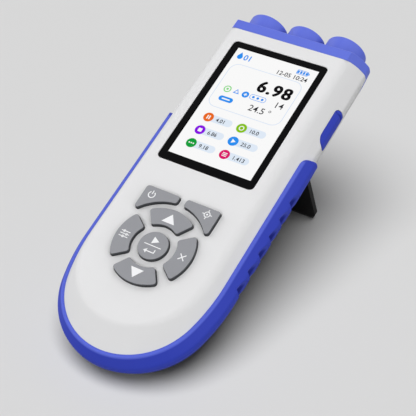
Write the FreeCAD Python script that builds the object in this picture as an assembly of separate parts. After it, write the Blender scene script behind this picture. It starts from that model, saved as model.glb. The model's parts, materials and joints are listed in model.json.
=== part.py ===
import FreeCAD
import Part
import math
import os

# Handheld multiparameter water quality meter standing on its open kickstand.
# Every piece is drawn in the flat frame of the case: X across, Y lengthwise towards the
# sockets, Z out of the face, with the screen's centre at the origin. At the end all pieces
# are leaned back together until the nose and the stand's foot meet the table. Millimetres.

Vector = FreeCAD.Vector
ALONG_X = Vector(1, 0, 0)
ALONG_Y = Vector(0, 1, 0)
ALONG_Z = Vector(0, 0, 1)

# Screen: the panel's lit area sets the module, the lens and the width of the face
active_width = 48.96
active_length = 73.44
active_offset_y = 1.2
module_side_border = 2.12
module_end_border = 2.68
lens_ledge = 1.5

# Case outline: straight sides, side arcs and a nose arc, at the face, the rim and the waist
case_thickness = 30.0
face_margin = 6.2
face_shoulder_y = -89.6
face_side_radius = 60.0
face_nose_drop = 6.04
rim_depth = 6.8
rim_spread = 4.5
rim_shoulder_y = -89.2
rim_side_radius = 96.9
rim_nose_drop = 15.76
waist_growth = 3.1
waist_top_depth = 12.2
waist_bottom_depth = 15.8
rear_inset = 2.3
face_round = 6.0
waist_round = 4.0
rear_round = 5.0
parting_depth = 14.0
groove_width = 0.3
groove_depth = 0.3

# Walls of the two covers
face_wall = 2.2
rear_wall = 2.2
side_wall = 2.6
fit_gap = 0.1
moving_gap = 0.25

# Crowned upper end: the joint of the covers with the end cap, and the cap's own end
joint_margin = 10.9
end_crown_radius = 34.0
cap_length = 5.9
cap_edge_round = 0.7

# Collars on the end cap and the web that carries the sockets
collar_spacing = 23.7
collar_depth = 16.0
collar_reach = 8.5
outer_collar_radius = 11.5
middle_collar_radius = 10.9
collar_wall = 2.2
collar_mouth_wall = 1.6
collar_mouth_depth = 4.5
collar_rim_round = 0.7
web_depth = 4.3
web_thickness = 2.5
spigot_depth = 8.8
spigot_wall = 1.8

# Elastomer band round the lower half
band_lip = 1.7
band_waist_thickness = 2.3
band_lower_thickness = 2.1
band_top_depth = 6.9
band_bottom_depth = 21.2
band_end_y = -7.3
band_lip_round = 0.5
grip_count = 6
grip_first_y = -34.0
grip_pitch = 10.5
grip_depth = 1.75
grip_length = 7.6
grip_wall_length = 1.0
grip_sag = 0.35
grip_slope = 0.2

# Screen stack
lens_thickness = 0.8
lens_corner = 2.5
lens_sunk = 0.05
lens_gap = 0.15
gasket_thickness = 0.2
module_thickness = 2.6
module_corner = 1.0
tray_wall = 1.3
tray_floor = 1.0
ribbon_width = 18.0
ribbon_thickness = 0.2
ribbon_bend = 1.4

# Keys
key_centre_y = -87.5
key_height = 2.0
key_gap = 0.3
key_corner = 1.4
key_edge_round = 0.45
key_seat_gap = 0.2
key_flange_reach = 0.9
key_flange_thickness = 0.8
key_travel = 1.0
plunger_radius = 1.4
enter_radius = 7.7
ring_inner_radius = 11.95
ring_outer_radius = 21.35
ring_half_angle = 36.5
corner_key_arc_radius = 24.9
corner_key_inner_x = 2.0
corner_key_outer_x = 21.4
corner_key_top_y = -58.3

# Boards, switches and battery
board_top_depth = 9.4
board_thickness = 1.6
board_half_width = 25.0
board_top_y = 34.0
board_bottom_y = -112.0
board_corner = 3.0
board_post_x = 21.5
board_upper_post_y = -49.0
board_lower_post_y = -107.0
tray_post_x = 20.0
tray_post_inset_y = 11.9
usb_post_x = 28.0
usb_post_spacing = 10.5
screw_bite_gap = 1.5
chip_side = 6.0
chip_height = 1.1
chip_row_y = -70.0
chip_spacing = 11.0
switch_side = 6.2
switch_base_height = 2.2
switch_button_radius = 1.7
board_post_radius = 2.2
board_screw_radius = 1.0
board_screw_head_radius = 2.0
board_screw_head_height = 1.4
battery_width = 46.0
battery_length = 66.0
battery_thickness = 7.0
battery_centre_y = -9.0
battery_corner = 2.5
pad_thickness = 2.8
buzzer_radius = 4.5
buzzer_height = 4.0
buzzer_y = -103.0

# Case screws
case_screw_radius = 1.4
case_screw_head_radius = 2.7
case_screw_head_height = 2.2
case_screw_sink = 3.6
case_screw_tip_depth = 7.0
boss_radius = 3.0
upper_screw_x = 31.5
upper_screw_depth = 15.8
middle_screw_x = 29.5
middle_screw_y = -66.5
nose_screw_x = 20.0
nose_screw_y = -119.0

# Kickstand, its pocket and its pins
stand_half_width = 28.0
stand_thickness = 3.0
stand_back_y = 5.0
stand_length = 59.0
stand_corner = 3.0
stand_sunk = 0.3
barrel_radius = 2.4
pin_radius = 1.0
pin_length = 7.0
pin_in_barrel = 4.0
foot_height = 2.6
foot_setback = 2.2
tongue_thickness = 1.2
tongue_height = 1.3
pocket_wall = 2.0
pocket_floor_gap = 0.4
thumb_radius = 9.0
thumb_depth = 3.0

# Charging port, its rubber cover and the cover's anchor
port_top_y = 25.2
port_bottom_y = 2.3
port_half_height = 5.3
port_hinge_y = 22.7
port_hinge_sunk = 0.4
port_top_corner = 3.0
port_floor_x = 38.0
port_block_x = 36.3
port_block_margin = 2.2
port_edge_round = 0.6
port_relief = 0.8
port_swing_gap = 0.15
anchor_stem_radius = 0.8
anchor_stem_length = 2.6
receptacle_width = 8.94
receptacle_height = 3.26
receptacle_length = 7.3
receptacle_shell = 0.3
receptacle_tongue_width = 6.6
receptacle_tongue_thickness = 0.7
usb_board_thickness = 1.2
usb_board_length = 18.0
usb_board_inner_x = 24.5
usb_post_radius = 2.0

# Sockets in the collars
socket_flange_radius = 7.2
socket_flange_thickness = 1.5
bnc_radius = 4.8
bnc_bore_radius = 4.05
bnc_reach = 11.3
bnc_bore_depth = 8.5
bnc_lug_radius = 0.95
bnc_lug_reach = 1.1
bnc_lug_from_end = 2.4
bnc_insulator_radius = 2.35
bnc_insulator_short = 0.9
bnc_contact_radius = 0.7
pin_socket_radius = 6.2
pin_socket_wall = 0.8
pin_socket_reach = 10.5
pin_insulator_depth = 3.0
pin_count = 8
pin_circle_radius = 3.4
pin_contact_radius = 0.45
pin_contact_reach = 4.5
socket_tail_radius = 4.6
socket_tail_end_y = 43.1
nut_flat = 13.0
nut_thickness = 2.2
washer_radius = 7.0
washer_thickness = 0.8
sensor_board_thickness = 1.6
sensor_board_top_depth = 6.0

# Seal between the covers
seal_outer_inset = 0.8
seal_width = 1.1
seal_height = 1.0

# Rubber feet under the rear cover
pad_radius = 3.5
pad_height = 1.5
pad_recess = 0.7
upper_pad_x = 22.0
upper_pad_y = 41.0
lower_pad_x = 26.0
lower_pad_y = -99.0

# Lengths that follow from the ones above
module_width = active_width + 2 * module_side_border
module_length = active_length + 2 * module_end_border
lens_width = module_width + 2 * lens_ledge
lens_length = module_length + 2 * lens_ledge
face_half_width = lens_width / 2 + face_margin
rim_half_width = face_half_width + rim_spread
joint_y = lens_length / 2 + joint_margin
web_y = joint_y - web_depth
spigot_start_y = joint_y - spigot_depth
upper_screw_y = joint_y - upper_screw_depth
collar_rim_y = joint_y + cap_length + collar_reach
hinge_y = stand_back_y - barrel_radius
hinge_z = -case_thickness + stand_sunk + barrel_radius
stand_end_z = hinge_z - stand_length
foot_end_z = stand_end_z - foot_height
foot_radius = stand_thickness / 2
module_top_z = -lens_sunk - lens_thickness - gasket_thickness
module_bottom_z = module_top_z - module_thickness
board_bottom_z = -board_top_depth - board_thickness
pocket_floor_z = hinge_z + barrel_radius + pocket_floor_gap
pocket_roof_z = pocket_floor_z + pocket_wall
receptacle_bottom_z = -parting_depth - receptacle_height / 2
waist_x = rim_half_width + waist_growth
far = 200.0

face_shape = (face_half_width, face_shoulder_y, face_side_radius, face_nose_drop)
rim_shape = (rim_half_width, rim_shoulder_y, rim_side_radius, rim_nose_drop)


def grown(shape, growth):
    """The same case outline, moved outwards by growth."""
    half_width, shoulder_y, side_radius, nose_drop = shape
    return (half_width + growth, shoulder_y, side_radius + growth, nose_drop)


def nose_tip(shape):
    """Where the outline ends at the nose: the nose arc runs on from the side arcs."""
    half_width, shoulder_y, side_radius, nose_drop = shape
    nose_radius = side_radius - math.hypot(nose_drop, side_radius - half_width)
    return shoulder_y - nose_drop - nose_radius


def outline(shape, z, top_y=far / 2):
    """Closed outline of the case at one height: straight sides, side arcs, nose arc."""
    half_width, shoulder_y, side_radius, nose_drop = shape
    side_centre_x = half_width - side_radius
    sweep = math.atan2(-nose_drop, -side_centre_x)

    def on_side_arc(angle, hand):
        x = side_centre_x + side_radius * math.cos(angle)
        return Vector(hand * x, shoulder_y + side_radius * math.sin(angle), z)

    right = [on_side_arc(part * sweep, 1) for part in (0, 0.5, 1)]
    left = [on_side_arc(part * sweep, -1) for part in (1, 0.5, 0)]
    right_top = Vector(half_width, top_y, z)
    left_top = Vector(-half_width, top_y, z)
    edges = [
        Part.LineSegment(right_top, right[0]),
        Part.Arc(*right),
        Part.Arc(right[2], Vector(0, nose_tip(shape), z), left[0]),
        Part.Arc(*left),
        Part.LineSegment(left[2], left_top),
        Part.LineSegment(left_top, right_top),
    ]
    return Part.Wire([edge.toShape() for edge in edges])


def level_edges(solid, depth):
    """The edges of a long solid that lie all at one depth below the face, without its end."""
    found = []
    for edge in solid.Edges:
        box = edge.BoundBox
        level = abs(box.ZMin + depth) < 0.01 and abs(box.ZMax + depth) < 0.01
        if level and box.YMin < far / 2 - 1:
            found.append(edge)
    return found


def case_block(growth=0.0, soft_face=True):
    """The case as one long block: face, rim, waist and rear outlines joined by ruled walls."""
    sections = [
        outline(grown(face_shape, growth), growth),
        outline(grown(rim_shape, growth), -rim_depth),
        outline(grown(rim_shape, waist_growth + growth), -waist_top_depth),
        outline(grown(rim_shape, waist_growth + growth), -waist_bottom_depth),
        outline(grown(rim_shape, growth - rear_inset), -case_thickness - growth),
    ]
    block = Part.makeLoft(sections, True, True)
    waist = level_edges(block, waist_top_depth) + level_edges(block, waist_bottom_depth)
    block = block.makeFillet(waist_round, waist)
    block = block.makeFillet(rear_round, level_edges(block, case_thickness + growth))
    if soft_face:
        block = block.makeFillet(face_round, level_edges(block, -growth))
    return block


def cavity_block(inset=0.0):
    """The hollow inside both covers; inset leaves a gap to their walls."""
    depth = side_wall + inset
    sections = [
        outline(grown(face_shape, -depth), -face_wall - inset),
        outline(grown(rim_shape, -depth), -rim_depth - inset),
        outline(grown(rim_shape, waist_growth - depth), -waist_top_depth),
        outline(grown(rim_shape, waist_growth - depth), -waist_bottom_depth),
        outline(grown(rim_shape, -rear_inset - depth), -case_thickness + rear_wall + inset),
    ]
    return Part.makeLoft(sections, True, True)


def crowned_prism(crown_y):
    """Everything below a crowned end: an arc in side view whose top is at mid-depth."""
    reach = case_thickness
    sag = end_crown_radius - math.sqrt(end_crown_radius ** 2 - reach ** 2)
    high = Vector(-far, crown_y - sag, reach - parting_depth)
    low = Vector(-far, crown_y - sag, -reach - parting_depth)
    top = Vector(-far, crown_y, -parting_depth)
    high_back = Vector(-far, -far, high.z)
    low_back = Vector(-far, -far, low.z)
    edges = [
        Part.Arc(high, top, low),
        Part.LineSegment(low, low_back),
        Part.LineSegment(low_back, high_back),
        Part.LineSegment(high_back, high),
    ]
    face = Part.Face(Part.Wire([edge.toShape() for edge in edges]))
    return face.extrude(ALONG_X * 2 * far)


def box(x, y, z):
    """A block between two values on each axis."""
    corner = Vector(min(x), min(y), min(z))
    return Part.makeBox(abs(x[1] - x[0]), abs(y[1] - y[0]), abs(z[1] - z[0]), corner)


def rod(radius, start, end):
    """A round bar between two points."""
    run = end - start
    return Part.makeCylinder(radius, run.Length, start, run)


def edges_along(solid, direction):
    """The straight edges of a solid that run along one axis."""
    found = []
    for edge in solid.Edges:
        if isinstance(edge.Curve, Part.Line) or isinstance(edge.Curve, Part.LineSegment):
            if abs(abs(edge.tangentAt(edge.FirstParameter).dot(direction)) - 1) < 1e-6:
                found.append(edge)
    return found


def rounded_box(x, y, z, corner):
    """A block with its four upright edges rounded."""
    block = box(x, y, z)
    return block.makeFillet(corner, edges_along(block, ALONG_Z))


def plate(width, length, top_z, thickness, corner, centre_y=0.0):
    """A flat rounded rectangle centred across the case."""
    half_width = width / 2
    half_length = length / 2
    across = (-half_width, half_width)
    along = (centre_y - half_length, centre_y + half_length)
    return rounded_box(across, along, (top_z - thickness, top_z), corner)


def mirrored(solid):
    """The same solid on the other side of the case."""
    return solid.mirror(Vector(0, 0, 0), ALONG_X)


def pairs(x, y):
    """One point on each side of the case."""
    return [(x, y), (-x, y)]


case_screw_places = (
    pairs(upper_screw_x, upper_screw_y)
    + pairs(middle_screw_x, middle_screw_y)
    + pairs(nose_screw_x, nose_screw_y)
)
board_post_places = (
    pairs(board_post_x, board_upper_post_y) + pairs(board_post_x, board_lower_post_y)
)
tray_post_y = module_length / 2 - tray_post_inset_y
tray_post_places = pairs(tray_post_x, tray_post_y) + pairs(tray_post_x, -tray_post_y)


# Keys

def key_profiles():
    """The flat outline of each key, its corners rounded, and the point where it is pressed."""
    centre = Vector(0, key_centre_y, 0)

    def rounded_face(face):
        block = face.extrude(ALONG_Z)
        block = block.makeFillet(key_corner, edges_along(block, ALONG_Z))
        return [f for f in block.Faces if abs(f.CenterOfMass.z) < 1e-6][0]

    def disc(radius):
        return Part.Face(Part.Wire(Part.makeCircle(radius, centre)))

    def sector(direction):
        reach = 2 * ring_outer_radius
        rays = []
        for side in (-1, 1):
            angle = math.radians(direction + side * ring_half_angle)
            rays.append(centre + Vector(math.cos(angle), math.sin(angle), 0) * reach)
        wedge = Part.Face(Part.makePolygon([centre, rays[0], rays[1], centre]))
        ring = disc(ring_outer_radius).cut(disc(ring_inner_radius))
        return rounded_face(ring.common(wedge).Faces[0])

    low_y = key_centre_y + ring_inner_radius
    wide = corner_key_outer_x - corner_key_inner_x
    tall = corner_key_top_y - low_y
    cal_block = Part.makePlane(wide, tall, Vector(corner_key_inner_x, low_y, 0))
    cal = rounded_face(cal_block.cut(disc(corner_key_arc_radius)).Faces[0])
    middle = (ring_inner_radius + ring_outer_radius) / 2
    corner_x = (corner_key_inner_x + corner_key_outer_x) / 2
    corner_y = corner_key_top_y - 3.2
    return {
        "key_enter": (disc(enter_radius), (0, key_centre_y)),
        "key_esc": (sector(0), (middle, key_centre_y)),
        "key_up": (sector(90), (0, key_centre_y + middle)),
        "key_set": (sector(180), (-middle, key_centre_y)),
        "key_down": (sector(270), (0, key_centre_y - middle)),
        "key_cal": (cal, (corner_x, corner_y)),
        "key_power": (mirrored(cal).Faces[0], (-corner_x, corner_y)),
    }


def standing(face, low_z, high_z):
    """A flat outline at zero height, drawn out between two heights."""
    block = face.extrude(ALONG_Z * (high_z - low_z))
    block.translate(ALONG_Z * low_z)
    return block


def make_key(profile, press_point):
    """A key cap with the flange that keeps it under the face and the plunger below it."""
    seat_z = -face_wall - key_seat_gap
    flange_z = seat_z - key_flange_thickness
    cap = standing(profile, seat_z, key_height)
    crown = [e for e in cap.Edges if abs(e.BoundBox.ZMin - key_height) < 1e-4]
    cap = cap.makeFillet(key_edge_round, crown)
    flange = standing(profile.makeOffset2D(key_flange_reach), flange_z, seat_z)
    x, y = press_point
    switch_top_z = -board_top_depth + switch_base_height
    plunger_end = Vector(x, y, switch_top_z + key_travel + fit_gap)
    plunger = rod(plunger_radius, Vector(x, y, seat_z), plunger_end)
    return cap.fuse([flange, plunger]).removeSplitter()


# Charging port

def port_profile(gap, low_y, high_y, rounded_ends):
    """The port's outline in side view as a block that runs outwards through the case's side."""
    low_z = -parting_depth - port_half_height - gap
    high_z = -parting_depth + port_half_height + gap
    block = box((port_block_x, waist_x + 5), (low_y - gap, high_y + gap), (low_z, high_z))
    upright = edges_along(block, ALONG_X)
    middle_y = (low_y + high_y) / 2
    if "low" in rounded_ends:
        low_edges = [e for e in upright if e.CenterOfMass.y < middle_y]
        block = block.makeFillet(port_half_height + gap - 0.05, low_edges)
        upright = edges_along(block, ALONG_X)
    if "high" in rounded_ends:
        high_edges = [e for e in upright if e.CenterOfMass.y > high_y + gap - 0.01]
        block = block.makeFillet(port_top_corner + gap, high_edges)
    return block


def port_block(case):
    """The thick patch of wall behind the port cover."""
    margin = port_block_margin
    depth = port_half_height + margin
    y = (port_bottom_y - margin, port_top_y + margin)
    z = (-parting_depth - depth, -parting_depth + depth)
    return case.common(box((port_block_x, waist_x + 5), y, z))


def port_recess():
    """The hollow for the cover and its anchor, and the slot for the receptacle."""
    recess = port_profile(moving_gap, port_bottom_y, port_top_y, ("low", "high"))
    recess = recess.cut(box((0, port_floor_x), (-far, far), (-far, far)))
    middle_y = (port_bottom_y + port_hinge_y) / 2
    half = receptacle_width / 2 + moving_gap
    tall = receptacle_height / 2 + moving_gap
    y = (middle_y - half, middle_y + half)
    z = (-parting_depth - tall, -parting_depth + tall)
    slot = box((port_block_x - 1, port_floor_x + 1), y, z)
    slot = slot.makeFillet(tall * 0.9, edges_along(slot, ALONG_X))
    stem_y = (port_hinge_y + port_top_y) / 2
    stem_start = Vector(port_block_x - 1, stem_y, -parting_depth)
    stem = rod(anchor_stem_radius + fit_gap, stem_start, stem_start + ALONG_X * 4)
    return recess.fuse([slot, stem])


def make_usb_cover(case):
    """The rubber cover over the port, flush with the case's side, full round at its free end."""
    cover = port_profile(0, port_bottom_y + port_swing_gap, port_hinge_y, ("low",))
    inner = box((0, port_floor_x + moving_gap), (-far, far), (-far, far))
    cover = cover.common(case).cut(inner)
    half = receptacle_width / 2 - 1
    middle_y = (port_bottom_y + port_hinge_y) / 2
    x = (port_floor_x + moving_gap - 0.15, port_floor_x + 1)
    plug = box(x, (middle_y - half, middle_y + half), (-parting_depth - 1, -parting_depth + 1))
    return cover.fuse(plug).removeSplitter()


def make_usb_anchor(case):
    """The fixed end of the rubber cover, held in the wall by a stem."""
    start_y = port_hinge_y + moving_gap
    anchor = port_profile(0, port_bottom_y, port_top_y, ("low", "high")).common(case)
    anchor = anchor.common(box((port_floor_x, far), (start_y, far), (-far, far)))
    relief = box((-port_relief, port_relief), (-port_relief, port_relief), (-far / 2, far / 2))
    relief.rotate(Vector(0, 0, 0), ALONG_Z, 45)
    relief.translate(Vector(waist_x, start_y, 0))
    stem_y = (port_hinge_y + port_top_y) / 2
    stem_end = Vector(port_floor_x + 0.5, stem_y, -parting_depth)
    stem_start = stem_end - ALONG_X * anchor_stem_length
    stem = rod(anchor_stem_radius, stem_start, stem_end)
    return anchor.cut(relief).fuse(stem).removeSplitter()


def make_receptacle():
    """The metal shell of the charging receptacle with its contact tongue."""
    middle_y = (port_bottom_y + port_hinge_y) / 2
    mouth_x = port_floor_x - 0.2
    back_x = mouth_x - receptacle_length

    def shell_block(shrink, from_x):
        half = receptacle_width / 2 - shrink
        tall = receptacle_height / 2 - shrink
        y = (middle_y - half, middle_y + half)
        z = (-parting_depth - tall, -parting_depth + tall)
        block = box((from_x, mouth_x), y, z)
        return block.makeFillet(tall * 0.95, edges_along(block, ALONG_X))

    hollow = shell_block(receptacle_shell, back_x + receptacle_shell)
    shell = shell_block(0, back_x).cut(hollow)
    half = receptacle_tongue_width / 2
    tall = receptacle_tongue_thickness / 2
    y = (middle_y - half, middle_y + half)
    z = (-parting_depth - tall, -parting_depth + tall)
    tongue = box((back_x, mouth_x - 1), y, z)
    return shell.fuse(tongue)


def make_usb_board():
    """The small board under the charging receptacle."""
    middle_y = (port_bottom_y + port_hinge_y) / 2
    y = (middle_y - usb_board_length / 2, middle_y + usb_board_length / 2)
    x = (usb_board_inner_x, port_block_x - moving_gap)
    z = (receptacle_bottom_z - usb_board_thickness, receptacle_bottom_z)
    return rounded_box(x, y, z, 1.0)


# Covers

def screw_bore(x, y):
    """The shank's hole and the sunk seat of a case screw's head."""
    shank_top = Vector(x, y, -case_screw_tip_depth + 1)
    rear = Vector(x, y, -case_thickness - 1)
    seat = Vector(x, y, -case_thickness + case_screw_sink)
    shank = rod(case_screw_radius + fit_gap, rear, shank_top)
    return shank.fuse(rod(case_screw_head_radius + moving_gap, rear, seat))


def pocket(growth, roof_z):
    """The stand's hollow in the rear cover, or the box round it when grown."""
    half = stand_half_width + moving_gap + growth
    low_y = hinge_y - stand_length - foot_height - moving_gap - growth
    high_y = stand_back_y + moving_gap + growth
    block = box((-half, half), (low_y, high_y), (-case_thickness - 1, roof_z))
    low_edges = [e for e in edges_along(block, ALONG_Z) if e.CenterOfMass.y < 0]
    return block.makeFillet(stand_corner + growth, low_edges)


def thumb_hollow(growth):
    """The round recess that lets a thumb lift the folded stand."""
    y = hinge_y - stand_length - foot_height
    low = Vector(0, y, -case_thickness - 1)
    high = Vector(0, y, -case_thickness + thumb_depth + growth)
    return rod(thumb_radius + growth, low, high)


def parting_groove():
    """The fine shadow line between the two covers."""
    half = groove_width / 2
    slab = box((-far, far), (-far, far), (-parting_depth - half, -parting_depth + half))
    return case_block(1.0).common(slab).cut(case_block(-groove_depth))


def make_covers(case, cavity):
    """The front and rear covers: two shells that meet at the parting plane."""
    shell = case.common(crowned_prism(joint_y)).cut(cavity)
    groove = parting_groove()
    port = port_block(case)
    posts = []
    for x, y in case_screw_places:
        posts.append(rod(boss_radius, Vector(x, y, -face_wall / 2), Vector(x, y, -far / 8)))
    front_half = box((-far, far), (-far, far), (-parting_depth, far))
    rear_half = box((-far, far), (-far, far), (-parting_depth, -far))

    front_posts = [post.common(case) for post in posts]
    for x, y in board_post_places:
        top = Vector(x, y, -face_wall / 2)
        front_posts.append(rod(board_post_radius, top, Vector(x, y, -board_top_depth)))
    front = shell.fuse([port] + front_posts).common(front_half)
    window_top = plate(
        lens_width + 2 * lens_gap, lens_length + 2 * lens_gap, 1, 1 - module_top_z,
        lens_corner + lens_gap
    )
    opening = plate(
        module_width + 2 * lens_gap, module_length + 2 * lens_gap, 1, 2 + face_wall, module_corner
    )
    cuts = [window_top, opening]
    for profile, press_point in key_profiles().values():
        cuts.append(standing(profile.makeOffset2D(key_gap), -face_wall - 1, 1))
    for x, y in board_post_places:
        start = Vector(x, y, -board_top_depth - 1)
        cuts.append(rod(board_screw_radius, start, Vector(x, y, -face_wall - 1)))
    screws = [screw_bore(x, y) for x, y in case_screw_places]
    front = front.cut(cuts + screws + [port_recess(), groove])

    rear_posts = [rod(boss_radius, Vector(x, y, -parting_depth), Vector(x, y, -case_thickness + 1))
                  for x, y in case_screw_places]
    for hand in (-1, 1):
        y = (port_bottom_y + port_hinge_y + hand * usb_post_spacing) / 2
        top = Vector(usb_post_x, y, receptacle_bottom_z - usb_board_thickness)
        rear_posts.append(rod(usb_post_radius, Vector(usb_post_x, y, -case_thickness + 1), top))
    box_round_pocket = pocket(pocket_wall, pocket_roof_z).common(case)
    thumb_wall = thumb_hollow(pocket_wall).common(case)
    ears = [stand_ear(side).common(case) for side in (-1, 1)]
    rear = shell.fuse([port, box_round_pocket, thumb_wall] + rear_posts + ears).common(rear_half)
    cuts = [pocket(0, pocket_floor_z), thumb_hollow(0), seal_ring(fit_gap)]
    for x, y in pairs(upper_pad_x, upper_pad_y) + pairs(lower_pad_x, lower_pad_y):
        foot_top = Vector(x, y, -case_thickness + pad_recess)
        cuts.append(rod(pad_radius + fit_gap, Vector(x, y, -case_thickness - 1), foot_top))
    pins = [stand_pin(side, fit_gap / 2) for side in (-1, 1)]
    rear = rear.cut(cuts + screws + pins + [port_recess(), groove])
    return front, rear


def seal_ring(gap):
    """The seal that lies in the rear cover's edge, open at the cap end."""
    start = waist_growth - seal_outer_inset + gap
    low_z = -parting_depth - seal_height - gap
    outer = Part.Face(outline(grown(rim_shape, start), low_z))
    inner = Part.Face(outline(grown(rim_shape, start - seal_width - 2 * gap), low_z))
    ring = outer.extrude(ALONG_Z * (seal_height + gap)).cut(inner.extrude(ALONG_Z * far))
    margin = port_block_margin + fit_gap - gap
    port_gap = box((0, far), (port_bottom_y - margin, port_top_y + margin), (-far, far))
    end = spigot_start_y - 1 + gap
    return ring.common(box((-far, far), (-far, end), (-far, far))).cut(port_gap)


# End cap and sockets

def collar_places():
    """The centre across the case, outer radius and name of each collar."""
    return [
        (-collar_spacing, outer_collar_radius),
        (0.0, middle_collar_radius),
        (collar_spacing, outer_collar_radius),
    ]


def on_collar(x, y):
    """A point on a collar's axis."""
    return Vector(x, y, -collar_depth)


def make_end_cap(cavity):
    """The end cap with its three collars, the spigot in the covers and the socket web."""
    hard_case = case_block(soft_face=False)
    end = crowned_prism(joint_y + cap_length)
    cap = hard_case.common(end).cut(crowned_prism(joint_y + fit_gap))
    crown = [e for e in cap.Edges if e.BoundBox.YMax > joint_y + cap_length - 8]
    outer_end = [e for e in crown if e.BoundBox.YMin > joint_y + 0.5]
    cap = cap.makeFillet(cap_edge_round, outer_end)
    top_y = joint_y + cap_length - 1
    spigot_slab = box((-far, far), (spigot_start_y, top_y), (-far, far))
    spigot = cavity_block(fit_gap).common(spigot_slab)
    spigot = spigot.cut(cavity_block(fit_gap + spigot_wall).cut(
        box((-far, far), (web_y, top_y + 1), (-far, far))))
    below_joint = crowned_prism(joint_y + 1)
    spigot = spigot.common(below_joint)
    collars = []
    bores = []
    for x, radius in collar_places():
        collar = rod(radius, on_collar(x, web_y), on_collar(x, collar_rim_y))
        rim = [e for e in collar.Edges if e.BoundBox.YMin > collar_rim_y - 0.1]
        collars.append(collar.makeFillet(collar_rim_round, rim))
        floor = on_collar(x, web_y + web_thickness)
        mouth = on_collar(x, collar_rim_y - collar_mouth_depth)
        bores.append(rod(radius - collar_wall, floor, mouth))
        bores.append(rod(radius - collar_mouth_wall, mouth, on_collar(x, collar_rim_y + 1)))
        hole = rod(socket_tail_radius + fit_gap, on_collar(x, web_y - 1), floor + ALONG_Y)
        bores.append(hole)
    inside = hard_case.common(end)
    collars = [c.cut(box((-far, far), (0, web_y), (-far, far))) for c in collars]
    cap = cap.fuse([spigot] + collars)
    cap = cap.cut(bores)
    return cap.removeSplitter()


def make_bnc(x):
    """A bayonet coaxial jack: flange, barrel with two lugs, deep bore and tail."""
    floor_y = web_y + web_thickness
    end_y = floor_y + bnc_reach
    flange_end = on_collar(x, floor_y + socket_flange_thickness)
    body = rod(socket_flange_radius, on_collar(x, floor_y), flange_end)
    barrel = rod(bnc_radius, on_collar(x, floor_y), on_collar(x, end_y))
    tail = rod(socket_tail_radius, on_collar(x, socket_tail_end_y), on_collar(x, floor_y))
    lug_y = end_y - bnc_lug_from_end
    lug_reach = ALONG_X * (bnc_radius + bnc_lug_reach)
    lugs = rod(bnc_lug_radius, on_collar(x, lug_y) - lug_reach, on_collar(x, lug_y) + lug_reach)
    bore_start = on_collar(x, end_y - bnc_bore_depth)
    bore = rod(bnc_bore_radius, bore_start, on_collar(x, end_y + 1))
    jack = body.fuse([barrel, tail, lugs]).cut(bore)
    return jack.removeSplitter()


def make_bnc_insulator(x):
    """The pale insulator that carries a jack's centre contact."""
    end_y = web_y + web_thickness + bnc_reach
    start = on_collar(x, end_y - bnc_bore_depth)
    end = on_collar(x, end_y - bnc_insulator_short)
    sleeve = rod(bnc_insulator_radius, start, end)
    return sleeve.cut(rod(bnc_contact_radius, start - ALONG_Y, end + ALONG_Y))


def make_bnc_contact(x):
    """The tubular centre contact of a jack."""
    end_y = web_y + web_thickness + bnc_reach
    start = on_collar(x, end_y - bnc_bore_depth)
    end = on_collar(x, end_y - bnc_insulator_short)
    contact = rod(bnc_contact_radius, start, end)
    return contact.cut(rod(bnc_contact_radius / 2, start + ALONG_Y * 3, end + ALONG_Y))


def make_pin_socket():
    """The round multipin socket's shell with a key rib inside."""
    floor_y = web_y + web_thickness
    end_y = floor_y + pin_socket_reach
    flange_end = on_collar(0, floor_y + socket_flange_thickness)
    body = rod(socket_flange_radius, on_collar(0, floor_y), flange_end)
    barrel = rod(pin_socket_radius, on_collar(0, floor_y), on_collar(0, end_y))
    tail = rod(socket_tail_radius, on_collar(0, socket_tail_end_y), on_collar(0, floor_y))
    inner_radius = pin_socket_radius - pin_socket_wall
    bore = rod(inner_radius, flange_end, on_collar(0, end_y + 1))
    rib_z = (-collar_depth + inner_radius - 0.8, -collar_depth + inner_radius + 0.2)
    rib = box((-0.8, 0.8), (flange_end.y, end_y - 1), rib_z)
    return body.fuse([barrel, tail]).cut(bore).fuse(rib).removeSplitter()


def make_pin_contacts():
    """The ring of pins in the round socket."""
    start_y = web_y + web_thickness + socket_flange_thickness
    end_y = start_y + pin_insulator_depth + pin_contact_reach
    pins = []
    for step in range(pin_count):
        angle = 2 * math.pi * (step + 0.5) / pin_count
        across = pin_circle_radius * math.cos(angle)
        up = pin_circle_radius * math.sin(angle)
        start = Vector(across, start_y, up - collar_depth)
        pins.append(rod(pin_contact_radius, start, Vector(across, end_y, start.z)))
    return pins


def make_pin_insulator(pins):
    """The disc that carries the pins of the round socket."""
    start_y = web_y + web_thickness + socket_flange_thickness
    radius = pin_socket_radius - pin_socket_wall
    disc = rod(radius, on_collar(0, start_y), on_collar(0, start_y + pin_insulator_depth))
    rib_gap = box((-0.9, 0.9), (0, far), (radius - collar_depth - 0.9, far))
    return disc.cut(pins + [rib_gap])


def hexagon_nut(x):
    """The nut that clamps a socket to the web."""
    corner_radius = nut_flat / math.sqrt(3)
    end_y = web_y - washer_thickness
    points = []
    for step in range(7):
        angle = math.pi * step / 3
        across = x + corner_radius * math.sin(angle)
        points.append(Vector(across, end_y, corner_radius * math.cos(angle) - collar_depth))
    nut = Part.Face(Part.makePolygon(points)).extrude(-ALONG_Y * nut_thickness)
    hole = rod(socket_tail_radius, on_collar(x, end_y - 2 * nut_thickness), on_collar(x, web_y))
    return nut.cut(hole)


def washer(x):
    """The washer between a socket's nut and the web."""
    start = on_collar(x, web_y - washer_thickness)
    ring = rod(washer_radius, start, on_collar(x, web_y))
    return ring.cut(rod(socket_tail_radius, start - ALONG_Y, on_collar(x, web_y + 1)))


def make_sensor_board():
    """The upright board behind the sockets, against the cap's spigot."""
    slab_y = (spigot_start_y - sensor_board_thickness, spigot_start_y)
    depth = (-sensor_board_top_depth, -far)
    slab = box((-far, far), slab_y, depth)
    return cavity_block(1.0).common(slab)


# Band

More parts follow.
